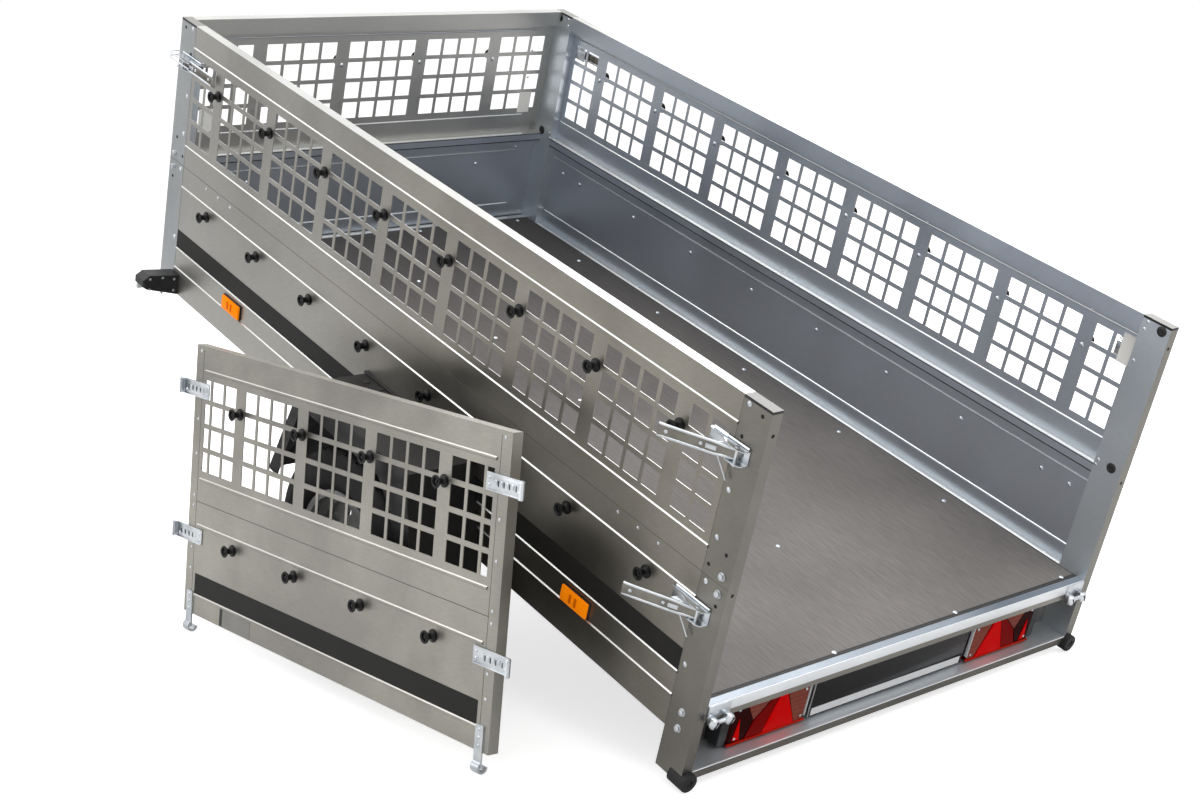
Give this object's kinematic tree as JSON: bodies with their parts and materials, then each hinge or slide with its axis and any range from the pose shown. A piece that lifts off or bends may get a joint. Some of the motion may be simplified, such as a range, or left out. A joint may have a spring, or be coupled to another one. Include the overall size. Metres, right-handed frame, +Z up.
{
  "type": "single-axle tipping utility trailer",
  "caption": "Galvanised box trailer parked with its load bed tipped back, mesh-topped sides, a lifted-off tailgate leaning on a mudguard, and a hinged drawbar on a jockey wheel.",
  "frame": {"origin": "on the floor, under the middle of the whole parked trailer's bounding box", "axes": "+Y points to the towing vehicle, +X to the trailer's right, +Z up"},
  "size_m": [1.8438, 3.5428, 1.5425],
  "materials": {
    "galvanised_steel": "satin galvanised sheet",
    "galvanised_frame": "hot-dip galvanised",
    "zinc_hardware": "bright zinc plate",
    "floor_plywood": "film-faced plywood",
    "black_plastic": "moulded polypropylene",
    "black_rubber": "moulded",
    "tyre_rubber": "matt",
    "wheel_silver": "silver wheel enamel",
    "red_lens": "moulded acrylic",
    "amber_lens": "moulded acrylic",
    "plate_white": "satin"
  },
  "bodies": {
    "bed": {"floor_panel": "floor_plywood", "floor_cross_members": "galvanised_frame", "lower_side_left": "galvanised_steel", "lower_side_right": "galvanised_steel", "mesh_side_left": "galvanised_steel", "mesh_side_right": "galvanised_steel", "lower_front_panel": "galvanised_steel", "mesh_front_panel": "galvanised_steel", "rear_posts": "galvanised_steel", "front_posts": "galvanised_steel", "extension_posts": "galvanised_steel", "post_caps": "black_plastic", "rear_sill": "galvanised_frame", "light_beam": "galvanised_frame", "tail_lamp_left": "red_lens", "tail_lamp_right": "red_lens", "number_plate": "plate_white", "rubber_buffers": "black_rubber", "position_lamps": "black_plastic", "side_reflectors": "amber_lens", "cover_hooks": "black_plastic", "toggle_latches": "zinc_hardware", "hinge_pins": "zinc_hardware", "mudguard_left": "black_plastic", "mudguard_right": "black_plastic", "mudguard_brackets": "galvanised_frame", "axle_beam": "galvanised_frame", "axle_brackets": "galvanised_frame", "tip_catch": "galvanised_frame", "tailgate_lower": "galvanised_steel", "tailgate_mesh": "galvanised_steel", "tailgate_keepers": "zinc_hardware", "tailgate_hooks": "zinc_hardware", "tailgate_cover_hooks": "black_plastic"},
    "wheel_left": {"tyre_left": "tyre_rubber", "rim_left": "wheel_silver"},
    "wheel_right": {"tyre_right": "tyre_rubber", "rim_right": "wheel_silver"},
    "drawbar": {"drawbar_tube": "galvanised_frame", "coupling_head": "zinc_hardware", "coupling_handle": "zinc_hardware", "jockey_outer_tube": "zinc_hardware"},
    "jockey_leg": {"jockey_inner_tube": "zinc_hardware"},
    "jockey_caster": {"jockey_fork": "zinc_hardware"},
    "jockey_wheel": {"jockey_tyre": "black_rubber"}
  },
  "joints": [
    {"name": "wheel_left_spin", "type": "hinge", "parent": "bed", "child": "wheel_left", "pos_m": [-0.69763, -0.48624, 0.281], "axis": [-1, 0, 0], "continuous": true},
    {"name": "wheel_right_spin", "type": "hinge", "parent": "bed", "child": "wheel_right", "pos_m": [0.83737, -0.48624, 0.281], "axis": [-1, 0, 0], "continuous": true},
    {"name": "drawbar_tip", "type": "hinge", "parent": "bed", "child": "drawbar", "pos_m": [0.06987, -0.42247, 0.41693], "axis": [1, 0, 0], "range_deg": [0, 12.63]},
    {"name": "jockey_height", "type": "slide", "parent": "drawbar", "child": "jockey_leg", "axis": [0, -0.0698, 0.9976], "range_m": [0, 0.2]},
    {"name": "jockey_swivel", "type": "hinge", "parent": "jockey_leg", "child": "jockey_caster", "pos_m": [0.14687, 1.10577, 0.22307], "axis": [0, -0.0698, 0.9976], "continuous": true},
    {"name": "jockey_wheel_spin", "type": "hinge", "parent": "jockey_caster", "child": "jockey_wheel", "pos_m": [0.14687, 1.15247, 0.1], "axis": [-1, 0, 0], "continuous": true}
  ]
}
